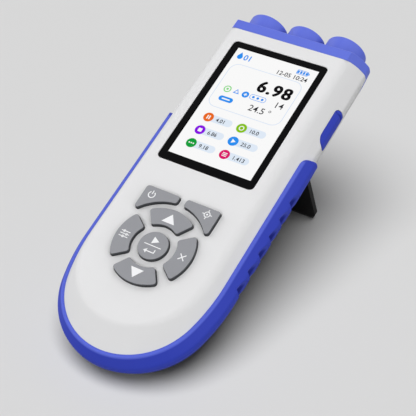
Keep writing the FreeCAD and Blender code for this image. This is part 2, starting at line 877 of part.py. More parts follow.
def make_band():
    """The elastomer band: a thick lip over the rim, rounded ends and six grip scoops a side."""
    lower_slope = (waist_growth + rear_inset) / (case_thickness - waist_bottom_depth)
    lower_growth = waist_growth - lower_slope * (band_bottom_depth - waist_bottom_depth)
    sections = [
        outline(grown(rim_shape, band_lip), -band_top_depth),
        outline(grown(rim_shape, waist_growth + band_waist_thickness), -waist_top_depth),
        outline(grown(rim_shape, waist_growth + band_waist_thickness), -waist_bottom_depth),
        outline(grown(rim_shape, lower_growth + band_lower_thickness), -band_bottom_depth),
    ]
    block = Part.makeLoft(sections, True, True)
    waist = level_edges(block, waist_top_depth) + level_edges(block, waist_bottom_depth)
    block = block.makeFillet(waist_round, waist)
    lips = level_edges(block, band_top_depth) + level_edges(block, band_bottom_depth)
    block = block.makeFillet(band_lip_round, lips)
    half_height = (band_bottom_depth - band_top_depth) / 2
    middle_z = -(band_bottom_depth + band_top_depth) / 2
    end_centre_y = band_end_y - half_height
    reach = 2 * half_height
    straight = box((-far, far), (-far, end_centre_y), (middle_z - reach, middle_z + reach))
    centre = Vector(-far, end_centre_y, middle_z)
    round_end = rod(half_height, centre, centre + ALONG_X * 2 * far)
    band = block.common(straight.fuse(round_end)).cut(case_block(fit_gap))
    return band.cut(grip_scoops())


def grip_scoops():
    """Scoops in the band's wall: a steep end towards the nose, then a hollow ramp back out."""
    wall_x = rim_half_width + waist_growth + band_waist_thickness
    outside = wall_x + 3 * grip_depth
    top_z = -band_top_depth
    tilt = Vector(-grip_slope, 0, -1) * (band_bottom_depth - band_top_depth + 2)
    shift = grip_slope * (waist_top_depth - band_top_depth + 2)
    scoops = []
    for step in range(grip_count):
        y = grip_first_y - step * grip_pitch
        deep = Vector(wall_x - grip_depth + shift, y, top_z)
        ramp_end = Vector(wall_x + shift, y + grip_length, top_z)
        ramp_middle = (deep + ramp_end) / 2 - ALONG_X * grip_sag
        far_ramp = Vector(outside + shift, y + grip_length, top_z)
        far_wall = Vector(outside + shift, y - grip_wall_length, top_z)
        wall_end = Vector(wall_x + shift, y - grip_wall_length, top_z)
        edges = [
            Part.Arc(deep, ramp_middle, ramp_end),
            Part.LineSegment(ramp_end, far_ramp),
            Part.LineSegment(far_ramp, far_wall),
            Part.LineSegment(far_wall, wall_end),
            Part.LineSegment(wall_end, deep),
        ]
        scoop = Part.Face(Part.Wire([edge.toShape() for edge in edges])).extrude(tilt)
        scoops.append(scoop)
        scoops.append(mirrored(scoop))
    return scoops


# Screen stack

def make_lens():
    """The clear lens, flush with the face, its top edge broken."""
    lens = plate(lens_width, lens_length, -lens_sunk, lens_thickness, lens_corner)
    rim = [e for e in lens.Edges if e.BoundBox.ZMin > -lens_sunk - 0.01]
    return lens.makeChamfer(0.2, rim)


def make_gasket():
    """The black adhesive frame under the lens, open over the lit area."""
    top_z = -lens_sunk - lens_thickness
    frame = plate(lens_width, lens_length, top_z, gasket_thickness, lens_corner)
    window = plate(active_width, active_length, 1, far, 0.5, active_offset_y)
    return frame.cut(window)


def make_module():
    """The display panel below the frame."""
    return plate(module_width, module_length, module_top_z, module_thickness, module_corner)


def make_tray():
    """The tray that holds the display against the face, with posts down to the main board."""
    width = module_width + 2 * tray_wall + 2 * lens_gap
    length = module_length + 2 * tray_wall + 2 * lens_gap
    height = -face_wall - module_bottom_z + tray_floor
    outer = plate(width, length, -face_wall, height, module_corner + tray_wall)
    hollow = plate(
        module_width + 2 * lens_gap, module_length + 2 * lens_gap, 1, 1 - module_bottom_z,
        module_corner
    )
    half = ribbon_width / 2 + 1
    floor_z = module_bottom_z - tray_floor
    notch = box((-half, half), (-length, -module_length / 2), (floor_z - 1, module_bottom_z + 1))
    posts = []
    for x, y in tray_post_places:
        posts.append(rod(board_post_radius, Vector(x, y, floor_z), Vector(x, y, -board_top_depth)))
    return outer.cut([hollow, notch]).fuse(posts).removeSplitter()


def make_ribbon():
    """The display's flat cable: out of the panel's end, down and onto the main board."""
    start_y = -module_length / 2
    low_z = -board_top_depth
    high_z = module_bottom_z + 2 * ribbon_thickness
    outer = ribbon_bend + ribbon_thickness
    bend_y = start_y - 1.0
    corner_y = bend_y - outer
    end_y = corner_y - 6.0

    def arc(centre_y, centre_z, radius, start, end):
        points = []
        for angle in (start, (start + end) / 2, end):
            turn = math.radians(angle)
            y = centre_y + radius * math.cos(turn)
            points.append(Vector(0, y, centre_z + radius * math.sin(turn)))
        return Part.Arc(*points).toShape()

    def line(first, second):
        return Part.LineSegment(Vector(0, *first), Vector(0, *second)).toShape()

    top_z = high_z - outer
    foot_z = low_z + outer
    wall_y = corner_y + ribbon_thickness
    foot_centre_y = corner_y - ribbon_bend
    edges = [
        line((start_y, high_z), (bend_y, high_z)),
        arc(bend_y, top_z, outer, 90, 180),
        line((corner_y, top_z), (corner_y, foot_z)),
        arc(foot_centre_y, foot_z, ribbon_bend, 0, -90),
        line((foot_centre_y, low_z + ribbon_thickness), (end_y, low_z + ribbon_thickness)),
        line((end_y, low_z + ribbon_thickness), (end_y, low_z)),
        line((end_y, low_z), (foot_centre_y, low_z)),
        arc(foot_centre_y, foot_z, outer, -90, 0),
        line((wall_y, foot_z), (wall_y, top_z)),
        arc(bend_y, top_z, ribbon_bend, 180, 90),
        line((bend_y, high_z - ribbon_thickness), (start_y, high_z - ribbon_thickness)),
        line((start_y, high_z - ribbon_thickness), (start_y, high_z)),
    ]
    face = Part.Face(Part.Wire(edges))
    strip = face.extrude(ALONG_X * ribbon_width)
    strip.translate(-ALONG_X * ribbon_width / 2)
    return strip


# Boards and battery

def make_main_board():
    """The long board under the screen and the keys."""
    across = (-board_half_width, board_half_width)
    along = (board_bottom_y, board_top_y)
    board = rounded_box(across, along, (board_bottom_z, -board_top_depth), board_corner)
    holes = []
    for x, y in board_post_places:
        low = Vector(x, y, board_bottom_z - 1)
        holes.append(rod(board_screw_radius + fit_gap, low, Vector(x, y, 0)))
    return board.cut(holes)


def make_chips():
    """The packages soldered under the main board."""
    chips = []
    z = (board_bottom_z - chip_height, board_bottom_z)
    for column, row, scale in ((0, 0, 2), (-1, -1, 1), (1, -1, 1), (0, -2, 1)):
        half = chip_side * scale / 2
        x = column * chip_spacing
        y = chip_row_y + row * chip_spacing
        chips.append(box((x - half, x + half), (y - half, y + half), z))
    return chips


def make_switches(profiles):
    """One push switch under each key."""
    switches = []
    for profile, (x, y) in profiles.values():
        half = switch_side / 2
        base_z = -board_top_depth + switch_base_height
        body = box((x - half, x + half), (y - half, y + half), (-board_top_depth, base_z - 0.5))
        button = rod(switch_button_radius, Vector(x, y, base_z - 1), Vector(x, y, base_z))
        switches.append(body.fuse(button).removeSplitter())
    return switches


def make_screw(x, y, head_z, tip_z, radius, head_radius, head_height):
    """A screw driven upwards from the rear, with a cross slot in its head."""
    shank = rod(radius, Vector(x, y, head_z), Vector(x, y, tip_z))
    head = rod(head_radius, Vector(x, y, head_z - head_height), Vector(x, y, head_z))
    slot = head_radius * 0.6
    width = head_radius * 0.15
    low_z = head_z - head_height
    z = (low_z - 1, low_z + head_height / 2)
    cross = [
        box((x - slot, x + slot), (y - width, y + width), z),
        box((x - width, x + width), (y - slot, y + slot), z),
    ]
    return head.fuse(shank).cut(cross).removeSplitter()


def make_board_screws():
    """The screws that hold the main board to the front cover's posts."""
    screws = []
    for x, y in board_post_places:
        tip_z = -face_wall - screw_bite_gap
        screws.append(make_screw(
            x, y, board_bottom_z, tip_z, board_screw_radius - 0.05, board_screw_head_radius,
            board_screw_head_height
        ))
    return screws


def make_case_screws():
    """The screws that hold the rear cover to the front cover."""
    seat_z = -case_thickness + case_screw_sink
    screws = []
    for x, y in case_screw_places:
        screws.append(make_screw(
            x, y, seat_z, -case_screw_tip_depth, case_screw_radius, case_screw_head_radius,
            case_screw_head_height
        ))
    return screws


def make_battery():
    """The flat battery pack, its long edges rounded."""
    top_z = pocket_roof_z + pad_thickness + battery_thickness
    pack = plate(
        battery_width, battery_length, top_z, battery_thickness, battery_corner, battery_centre_y
    )
    return pack


def make_battery_pad():
    """The foam pad between the battery and the roof of the stand's pocket."""
    top_z = pocket_roof_z + pad_thickness
    length = 2 * (stand_back_y + pocket_wall - battery_centre_y) - 2
    return plate(battery_width - 6, min(length, battery_length - 6), top_z, pad_thickness, 2.0,
                 battery_centre_y)


def make_buzzer():
    """The round buzzer under the main board."""
    top = Vector(0, buzzer_y, board_bottom_z)
    can = rod(buzzer_radius, top - ALONG_Z * buzzer_height, top)
    port = rod(1.0, top - ALONG_Z * (buzzer_height + 1), top - ALONG_Z * (buzzer_height - 0.6))
    return can.cut(port)


# Kickstand

def stand_ear(side):
    """The thick patch of pocket wall that takes a hinge pin."""
    start = Vector(side * (stand_half_width + moving_gap), hinge_y, hinge_z)
    return rod(barrel_radius + 1.2, start, start + ALONG_X * side * (pin_length - pin_in_barrel + 1))


def stand_pin(side, gap=0.0):
    """A steel pin from the pocket's wall into the stand's barrel."""
    start = Vector(side * (stand_half_width - pin_in_barrel), hinge_y, hinge_z)
    return rod(pin_radius + gap, start, start + ALONG_X * side * pin_length)


def make_kickstand():
    """The stand: a plate hanging from its hinge barrel, ribbed at the back, with a foot tongue."""
    half = stand_half_width
    front_y = stand_back_y - stand_thickness
    leg = box((-half, half), (front_y, stand_back_y), (stand_end_z, hinge_z))
    low = [e for e in edges_along(leg, ALONG_Y) if e.CenterOfMass.z < stand_end_z + 1]
    leg = leg.makeFillet(stand_corner, low)
    start = Vector(-half, hinge_y, hinge_z)
    barrel = rod(barrel_radius, start, start + ALONG_X * 2 * half)
    tongue_half = half - foot_setback - 1.5
    middle_y = stand_back_y - stand_thickness / 2
    tongue_y = (middle_y - tongue_thickness / 2, middle_y + tongue_thickness / 2)
    tongue = box((-tongue_half, tongue_half), tongue_y, (stand_end_z - tongue_height, stand_end_z + 1))
    panel_x = (-half + 6, half - 6)
    panel_z = (stand_end_z + 8, hinge_z - barrel_radius - 5)
    panel = box(panel_x, (stand_back_y - 0.8, stand_back_y + 1), panel_z)
    panel = panel.makeFillet(2.0, edges_along(panel, ALONG_Y))
    ribs = []
    for x in (-half / 3, 0, half / 3):
        ribs.append(box((x - 0.8, x + 0.8), (stand_back_y - 1, stand_back_y), panel_z))
    bores = []
    for side in (-1, 1):
        inner = Vector(side * (half - pin_in_barrel - 0.3), hinge_y, hinge_z)
        bores.append(rod(pin_radius + fit_gap, inner, inner + ALONG_X * side * pin_length))
    return leg.fuse([barrel, tongue]).cut([panel]).fuse(ribs).cut(bores).removeSplitter()


def make_stand_foot():
    """The rubber strip under the stand, rounded where it meets the table."""
    half = stand_half_width - foot_setback
    front_y = stand_back_y - stand_thickness
    strip = box((-half, half), (front_y, stand_back_y), (foot_end_z, stand_end_z))
    low = [e for e in edges_along(strip, ALONG_X) if e.CenterOfMass.z < foot_end_z + 0.1]
    strip = strip.makeFillet(foot_radius - 0.01, low)
    tongue_half = half - 1.5 + fit_gap
    middle_y = stand_back_y - stand_thickness / 2
    reach = tongue_thickness / 2 + fit_gap / 2
    groove = box(
        (-tongue_half, tongue_half), (middle_y - reach, middle_y + reach),
        (stand_end_z - tongue_height - fit_gap, stand_end_z + 1)
    )
    return strip.cut(groove)


def make_rear_feet():
    """Rubber feet for laying the meter flat."""
    feet = []
    for x, y in pairs(upper_pad_x, upper_pad_y) + pairs(lower_pad_x, lower_pad_y):
        top = Vector(x, y, -case_thickness + pad_recess)
        foot = rod(pad_radius, top - ALONG_Z * pad_height, top)
        low = [e for e in foot.Edges if e.BoundBox.ZMax < top.z - pad_height + 0.1]
        feet.append(foot.makeFillet(0.5, low))
    return feet


# Lean

def nose_contact():
    """Centre of the rear edge's rounding at the nose, in side view."""
    corner_y = nose_tip(grown(rim_shape, -rear_inset))
    slope = math.atan2(case_thickness - waist_bottom_depth, waist_growth + rear_inset)
    corner_angle = math.pi - slope
    return (corner_y + rear_round / math.tan(corner_angle / 2), -case_thickness + rear_round)


def lean_angle():
    """The lean at which one line touches both the nose's rounding and the foot's."""
    nose_y, nose_z = nose_contact()
    foot_y = stand_back_y - stand_thickness / 2
    foot_z = foot_end_z + foot_radius
    span = math.hypot(foot_y - nose_y, foot_z - nose_z)
    fall = math.atan2(nose_z - foot_z, foot_y - nose_y)
    return fall + math.asin((foot_radius - rear_round) / span)


def lean_placement(shapes):
    """Lean the case back, rest it on the table and centre it over the origin."""
    angle = lean_angle()
    turn = FreeCAD.Rotation(ALONG_X, math.degrees(angle))
    nose_y, nose_z = nose_contact()
    bottom = nose_y * math.sin(angle) + nose_z * math.cos(angle) - rear_round
    front = []
    back = []
    for shape in shapes:
        points, facets = shape.tessellate(0.05)
        along = [turn.multVec(point).y for point in points]
        front.append(min(along))
        back.append(max(along))
    middle = (min(front) + max(back)) / 2
    return FreeCAD.Placement(Vector(0, -middle, -bottom), turn)


def build():
    """All pieces by name, in the flat frame of the case."""
    case = case_block()
    cavity = cavity_block()
    profiles = key_profiles()
    front, rear = make_covers(case, cavity)
    pins = make_pin_contacts()
    sides = (-collar_spacing, collar_spacing)
    socket_xs = (-collar_spacing, 0.0, collar_spacing)
    contacts = [make_bnc_contact(x) for x in sides] + pins
    pieces = {
        "front_cover": front,
        "rear_cover": rear,
        "bumper_band": make_band(),
        "end_cap": make_end_cap(cavity),
        "case_seal": seal_ring(0.0),
        "screen_lens": make_lens(),
        "lens_gasket": make_gasket(),
        "display_module": make_module(),
        "display_tray": make_tray(),
        "display_ribbon": make_ribbon(),
        "main_board": make_main_board(),
        "board_chips": Part.makeCompound(make_chips()),
        "key_switches": Part.makeCompound(make_switches(profiles)),
        "buzzer": make_buzzer(),
        "board_screws": Part.makeCompound(make_board_screws()),
        "battery_pack": make_battery(),
        "battery_pad": make_battery_pad(),
        "sensor_board": make_sensor_board(),
        "bnc_socket_left": make_bnc(sides[0]),
        "bnc_socket_right": make_bnc(sides[1]),
        "bnc_insulators": Part.makeCompound([make_bnc_insulator(x) for x in sides]),
        "pin_socket": make_pin_socket(),
        "pin_socket_insulator": make_pin_insulator(pins),
        "socket_contacts": Part.makeCompound(contacts),
        "socket_nuts": Part.makeCompound([hexagon_nut(x) for x in socket_xs]),
        "socket_washers": Part.makeCompound([washer(x) for x in socket_xs]),
        "usb_board": make_usb_board(),
        "usb_receptacle": make_receptacle(),
        "usb_cover": make_usb_cover(case),
        "usb_cover_anchor": make_usb_anchor(case),
        "kickstand": make_kickstand(),
        "stand_foot": make_stand_foot(),
        "stand_pins": Part.makeCompound([stand_pin(side) for side in (-1, 1)]),
        "case_screws": Part.makeCompound(make_case_screws()),
        "rear_feet": Part.makeCompound(make_rear_feet()),
    }
    for name, (profile, press_point) in profiles.items():
        pieces[name] = make_key(profile, press_point)
    return pieces


def report_places(placement):
    """Print the points that joints and mounts use, in the leaned frame."""
    places = {
        "stand_hinge": Vector(0, hinge_y, hinge_z),
        "port_hinge": Vector(waist_x - port_hinge_sunk, port_hinge_y, -parting_depth),
        "port_mouth": Vector(port_floor_x, (port_bottom_y + port_hinge_y) / 2, -parting_depth),
    }
    for name, (profile, (x, y)) in key_profiles().items():
        places[name] = Vector(x, y, 0)
    for x, radius in collar_places():
        places["collar_%+d" % x] = on_collar(x, collar_rim_y - collar_mouth_depth / 2)
    print("lean %.4f" % math.degrees(placement.Rotation.Angle))
    for name, point in places.items():
        moved = placement.multVec(point)
        print("place %s %.4f %.4f %.4f" % (name, moved.x, moved.y, moved.z))


def main():
    pieces = build()
    placement = lean_placement(pieces.values())
    os.makedirs("parts", exist_ok=True)
    for name, shape in pieces.items():
        leaned = shape.copy()
        leaned.Placement = placement.multiply(leaned.Placement)
        leaned.exportStep("parts/%s.step" % name)
        print("%s solids %d valid %s" % (name, len(leaned.Solids), leaned.isValid()))
    report_places(placement)


main()
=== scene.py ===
import json
import math

import bmesh
import bpy
from mathutils import Matrix, Vector


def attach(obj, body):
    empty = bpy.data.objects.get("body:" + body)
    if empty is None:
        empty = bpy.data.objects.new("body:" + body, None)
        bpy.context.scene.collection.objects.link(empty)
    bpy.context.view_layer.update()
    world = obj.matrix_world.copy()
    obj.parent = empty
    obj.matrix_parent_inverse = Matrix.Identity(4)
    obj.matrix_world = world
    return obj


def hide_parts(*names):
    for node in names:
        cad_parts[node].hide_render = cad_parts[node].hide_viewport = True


# Handheld multiparameter water quality meter, leaning on its open kickstand. The frame gives the
# moulded pieces; this script finishes them, lights the screen and prints the legends. New pieces
# are drawn flat in the case's own frame, in millimetres: X across, Y towards the sockets, Z out
# of the face, with the screen's centre at the origin.

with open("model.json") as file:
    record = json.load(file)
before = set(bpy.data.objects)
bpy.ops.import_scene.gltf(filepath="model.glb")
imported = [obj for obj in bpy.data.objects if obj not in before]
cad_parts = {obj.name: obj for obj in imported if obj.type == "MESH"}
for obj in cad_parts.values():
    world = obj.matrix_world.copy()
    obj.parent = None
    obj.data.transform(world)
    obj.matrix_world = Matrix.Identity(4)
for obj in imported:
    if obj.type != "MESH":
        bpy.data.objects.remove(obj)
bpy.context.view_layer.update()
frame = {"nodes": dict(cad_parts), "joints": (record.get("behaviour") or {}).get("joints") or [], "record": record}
nodes = frame["nodes"]
bodies = frame["record"]["behaviour"]["bodies"]
joints = {joint["name"]: joint for joint in frame["joints"]}

mm = 0.001

# The case's frame comes from two hinges: the port cover's axis is square to the face, and the
# stand's axis passes through a known point of the case
stand_hinge = Vector((0, 2.6, -27.3))
face_normal = Vector(joints["usb_cover_hinge"]["axis"])
lean = math.atan2(-face_normal.y, face_normal.z)
leaned = Matrix.Rotation(lean, 4, "X") @ Matrix.Scale(mm, 4)
screen_centre = Vector(joints["stand_fold"]["pos_m"]) - leaned @ stand_hinge
case_to_row = Matrix.Translation(screen_centre) @ leaned

# The lens's clear window, inside its black border
window_width = 48.96
window_length = 73.44
window_offset_y = 0.75

# The band's wall: outwards from its lip down to the waist, straight, then inwards again
band_half_width = 44.2
band_lip_depth = 6.9
waist_top = 12.2
waist_bottom = 15.8
upper_wall_slope = 0.698
lower_wall_slope = 0.4167

# Heights of the printed surfaces, and how far a print stands off its key
key_top = 2.0
display_top = -1.05
print_height = 0.02


def find_body(node):
    """The body that carries a node."""
    return [body for body, members in bodies.items() if node in members][0]


# Materials

def linear(hex_colour):
    """An sRGB hex colour such as E4E4E6, as the linear colour that a shader socket takes."""
    parts = [int(hex_colour[i:i + 2], 16) / 255 for i in (0, 2, 4)]
    rgb = [c / 12.92 if c <= 0.04045 else ((c + 0.055) / 1.055) ** 2.4 for c in parts]
    return (*rgb, 1.0)


def add_node(tree, kind, inputs, **settings):
    """One shader node with its settings; an input is a plain value or another node's output."""
    node = tree.nodes.new(kind)
    for name, value in settings.items():
        setattr(node, name, value)
    for socket, source in inputs.items():
        if isinstance(source, bpy.types.NodeSocket):
            tree.links.new(source, node.inputs[socket])
        else:
            node.inputs[socket].default_value = source
    return node


def new_finish(name):
    """An empty material with its output and a Principled shader."""
    material = bpy.data.materials.new(name)
    material.use_nodes = True
    tree = material.node_tree
    tree.nodes.clear()
    shader = add_node(tree, "ShaderNodeBsdfPrincipled", {})
    add_node(tree, "ShaderNodeOutputMaterial", {"Surface": shader.outputs["BSDF"]})
    return material, tree, shader


def moulded(name, colour, roughness, grain_mm, grain_depth_mm, mottle=0.04, gloss_level=0.5):
    """A moulded plastic or elastomer: fine grain from the mould, and a faintly uneven gloss.

    Real mould grain is about a tenth of a millimetre and too fine to show, so it is coarser here.
    """
    cloud_mm = 14
    roughness_spread = 0.04
    material, tree, shader = new_finish(name)
    place = add_node(tree, "ShaderNodeTexCoord", {}).outputs["Object"]
    grain = add_node(tree, "ShaderNodeTexNoise", {
        "Vector": place,
        "Scale": 1 / (grain_mm * mm),
        "Detail": 2.0,
        "Roughness": 0.5,
    })
    bump = add_node(tree, "ShaderNodeBump", {
        "Height": grain.outputs["Fac"],
        "Strength": 0.6,
        "Distance": grain_depth_mm * mm,
    })
    cloud = add_node(tree, "ShaderNodeTexNoise", {
        "Vector": place,
        "Scale": 1 / (cloud_mm * mm),
        "Detail": 3.0,
        "Roughness": 0.6,
    })
    gloss = add_node(tree, "ShaderNodeMapRange", {
        "Value": cloud.outputs["Fac"],
        "To Min": roughness - roughness_spread,
        "To Max": roughness + roughness_spread,
    })
    base = linear(colour)[:3]
    tone = add_node(tree, "ShaderNodeMix", {
        "Factor": cloud.outputs["Fac"],
        "A": (*[c * (1 - mottle) for c in base], 1),
        "B": (*[min(1, c * (1 + mottle)) for c in base], 1),
    }, data_type="RGBA")
    tree.links.new(tone.outputs["Result"], shader.inputs["Base Color"])
    tree.links.new(gloss.outputs["Result"], shader.inputs["Roughness"])
    tree.links.new(bump.outputs["Normal"], shader.inputs["Normal"])
    shader.inputs["Specular IOR Level"].default_value = gloss_level
    return material


def metal(name, colour, roughness, scratch_mm):
    """A plated or turned metal with fine marks in its gloss."""
    roughness_spread = 0.08
    material, tree, shader = new_finish(name)
    marks = add_node(tree, "ShaderNodeTexNoise", {
        "Vector": add_node(tree, "ShaderNodeTexCoord", {}).outputs["Object"],
        "Scale": 1 / (scratch_mm * mm),
        "Detail": 4.0,
        "Roughness": 0.7,
    })
    gloss = add_node(tree, "ShaderNodeMapRange", {
        "Value": marks.outputs["Fac"],
        "To Min": roughness - roughness_spread,
        "To Max": roughness + roughness_spread,
    })
    tree.links.new(gloss.outputs["Result"], shader.inputs["Roughness"])
    shader.inputs["Base Color"].default_value = linear(colour)
    shader.inputs["Metallic"].default_value = 1.0
    return material


def printed(name, colour, gloss_level=0.3):
    """Printing ink: an even matte film with a slightly broken surface."""
    return moulded(name, colour, 0.5, 0.15, 0.002, mottle=0.02, gloss_level=gloss_level)


def lit(name, colour):
    """A lit spot of the display: it glows in its own colour and mirrors nothing."""
    material, tree, shader = new_finish(name)
    shader.inputs["Base Color"].default_value = (0, 0, 0, 1)
    shader.inputs["Emission Color"].default_value = linear(colour)
    shader.inputs["Emission Strength"].default_value = 1.0
    shader.inputs["Roughness"].default_value = 0.6
    shader.inputs["Specular IOR Level"].default_value = 0.0
    return material


def clear_glass(name):
    """Cover glass: nearly all light passes and a faint sharp reflection stays."""
    material, tree, shader = new_finish(name)
    shader.inputs["Base Color"].default_value = linear("050506")
    shader.inputs["Roughness"].default_value = 0.08
    shader.inputs["Specular IOR Level"].default_value = 0.4
    shader.inputs["Alpha"].default_value = 0.03
    return material


def paint_scoop_shade_and_lip_highlight(material, scoop_shade_colour, lip_highlight_colour):
    """Paint shade into a band's grip scoops, which go dark and dull, and a pale highlight on its lip.

    A scoop is where the surface lies behind the band's plain wall, so the wall's place is worked
    out at each height, and the depth behind it is where the painted shade darkens.
    """
    tree = material.node_tree
    shader = [node for node in tree.nodes if node.type == "BSDF_PRINCIPLED"][0]
    base = shader.inputs["Base Color"].links[0].from_socket
    smooth = shader.inputs["Roughness"].links[0].from_socket
    to_case = add_node(tree, "ShaderNodeMapping", {
        "Vector": add_node(tree, "ShaderNodeTexCoord", {}).outputs["Object"],
        "Rotation": (-lean, 0, 0),
        "Location": -(Matrix.Rotation(-lean, 3, "X") @ screen_centre),
    })
    axes = add_node(tree, "ShaderNodeSeparateXYZ", {"Vector": to_case.outputs["Vector"]})
    found = {"across": axes.outputs["X"], "along": axes.outputs["Y"], "out": axes.outputs["Z"]}

    # Each sum's name, its operation and what goes into it
    sums = (
        ("under", "MULTIPLY", "out", -1.0),
        ("over_waist", "SUBTRACT", waist_top * mm, "under"),
        ("over_waist", "MAXIMUM", "over_waist", 0.0),
        ("over_waist", "MULTIPLY", "over_waist", upper_wall_slope),
        ("below_waist", "SUBTRACT", "under", waist_bottom * mm),
        ("below_waist", "MAXIMUM", "below_waist", 0.0),
        ("below_waist", "MULTIPLY", "below_waist", lower_wall_slope),
        ("wall", "SUBTRACT", band_half_width * mm, "over_waist"),
        ("wall", "SUBTRACT", "wall", "below_waist"),
        ("across", "ABSOLUTE", "across"),
        ("depth", "SUBTRACT", "wall", "across"),
    )
    for name, operation, *terms in sums:
        inputs = {socket: found.get(term, term) for socket, term in enumerate(terms)}
        found[name] = add_node(tree, "ShaderNodeMath", inputs, operation=operation).outputs[0]

    # Each fade's name, what it follows, and where it is none and full, in millimetres
    fades = (
        ("in_a_scoop", "depth", 0.6, 1.6),
        ("under_the_lip", "under", 9.5, 10.3),
        ("past_the_nose", "along", -88.5, -87.5),
        ("before_the_end", "along", -25.0, -26.0),
        ("on_the_lip", "under", band_lip_depth + 1.0, band_lip_depth + 0.2),
    )
    for name, follows, none_at, full_at in fades:
        found[name] = add_node(tree, "ShaderNodeMapRange", {
            "Value": found[follows],
            "From Min": none_at * mm,
            "From Max": full_at * mm,
        }, interpolation_type="SMOOTHSTEP").outputs["Result"]

    # Painted shade in the scoops: the depth mask, cut off under the lip, past the nose and before the end, darkens
    # the colour and makes it rough
    painted_scoop_shade = found["in_a_scoop"]
    for limit in ("under_the_lip", "past_the_nose", "before_the_end"):
        both = {0: painted_scoop_shade, 1: found[limit]}
        painted_scoop_shade = add_node(tree, "ShaderNodeMath", both, operation="MULTIPLY").outputs[0]
    dulled = add_node(tree, "ShaderNodeMix", {"Factor": painted_scoop_shade, "A": smooth, "B": 1.0})
    with_scoop_shade = add_node(tree, "ShaderNodeMix", {
        "Factor": painted_scoop_shade,
        "A": base,
        "B": linear(scoop_shade_colour),
    }, data_type="RGBA")
    # Painted highlight: a paler blue along the lip
    with_lip_highlight = add_node(tree, "ShaderNodeMix", {
        "Factor": found["on_the_lip"],
        "A": with_scoop_shade.outputs["Result"],
        "B": linear(lip_highlight_colour),
    }, data_type="RGBA")
    tree.links.new(dulled.outputs["Result"], shader.inputs["Roughness"])
    tree.links.new(with_lip_highlight.outputs["Result"], shader.inputs["Base Color"])


# ABS from a spark-eroded mould: off-white, with an even satin skin
casing_abs = moulded("casing_abs_off_white", "E3E3E4", 0.55, 0.35, 0.004, mottle=0.012, gloss_level=0.3)
# The same ABS in blue for the end cap, a little glossier
cap_abs = moulded("cap_abs_blue", "5366D4", 0.46, 0.35, 0.004, mottle=0.02, gloss_level=0.6)
# Elastomer moulded over the case: deep blue and nearly without gloss
band_elastomer = moulded("band_elastomer_blue", "3242B9", 0.6, 0.3, 0.006, mottle=0.02, gloss_level=0.2)
# The band's own copy of it: rough grip scoops with painted shade, and a painted highlight on the lip
band_elastomer_painted_shade = band_elastomer.copy()
band_elastomer_painted_shade.name = "band_elastomer_blue_painted_shade_and_highlight"
paint_scoop_shade_and_lip_highlight(band_elastomer_painted_shade, "1C278C", "5868D8")
# Key caps: tops sprayed silver-grey over dark moulded walls
key_paint = moulded("key_paint_silver_grey", "8E8F94", 0.5, 0.25, 0.003, mottle=0.02)
key_wall_abs = moulded("key_wall_abs_dark", "34363A", 0.5, 0.25, 0.003, mottle=0.02)
# Moulded nylon of the kickstand: plain black, hardly any gloss
stand_nylon = moulded("stand_nylon_black", "0A0A0B", 0.6, 0.5, 0.01, mottle=0.05, gloss_level=0.15)
# Moulded rubber: dull and slightly uneven, coarser on the feet than on the seal
foot_rubber = moulded("foot_rubber_black", "101011", 0.75, 0.4, 0.02, mottle=0.08)
seal_rubber = moulded("seal_rubber_black", "161617", 0.7, 0.3, 0.01)
# ABS of the pieces inside: uncoloured mould finish in dark grey
inner_abs = moulded("inner_abs_dark_grey", "2A2B2E", 0.55, 0.4, 0.006)
# Ink screened behind the lens: black with almost no reflection of its own
mask_film = printed("mask_film_black", "030304", gloss_level=0.04)
# Polished cover glass over the display
cover_glass = clear_glass("cover_glass")
# The display panel's own glass, seen as a pale smooth sheet
panel_glass = moulded("panel_glass_pale", "C9CDD2", 0.25, 1.0, 0.001, mottle=0.01)
# Polyimide film of the ribbon: amber with a soft gloss
polyimide = moulded("polyimide_amber", "B4701E", 0.35, 0.5, 0.004, mottle=0.06)
# Cured solder mask on the boards: green, glossy and a little wavy
solder_mask = moulded("solder_mask_green", "0E5A32", 0.35, 0.6, 0.006, mottle=0.1)
# Transfer-moulded epoxy of chips, switches and buzzer: black and dull
chip_epoxy = moulded("chip_epoxy_black", "141416", 0.6, 0.2, 0.006)
# Aluminium laminate of the battery: silver with soft creases in its gloss
pouch_foil = metal("pouch_foil_silver", "9DA0A6", 0.38, 1.2)
# Cut foam of the battery pad: dark, matte and open
foam = moulded("foam_dark", "1C1C1E", 0.9, 0.8, 0.15, mottle=0.25)
# Bright nickel over turned brass: warm grey with fine turning marks
nickel = metal("nickel_plate", "C6C3BA", 0.24, 0.5)
# Gold over turned contacts
gold = metal("gold_plate", "E0B45A", 0.22, 0.4)
# Zinc-plated steel of screws, pins and washers: grey and half dull
zinc_steel = metal("zinc_plated_steel", "AEB0B4", 0.34, 0.4)
# Turned PTFE of the insulators: waxy white
insulator_ptfe = moulded("insulator_ptfe_white", "E8E6DE", 0.5, 0.4, 0.004)
# Pad-printed white ink of the legends
legend_ink = printed("legend_ink_white", "F2F2F4")

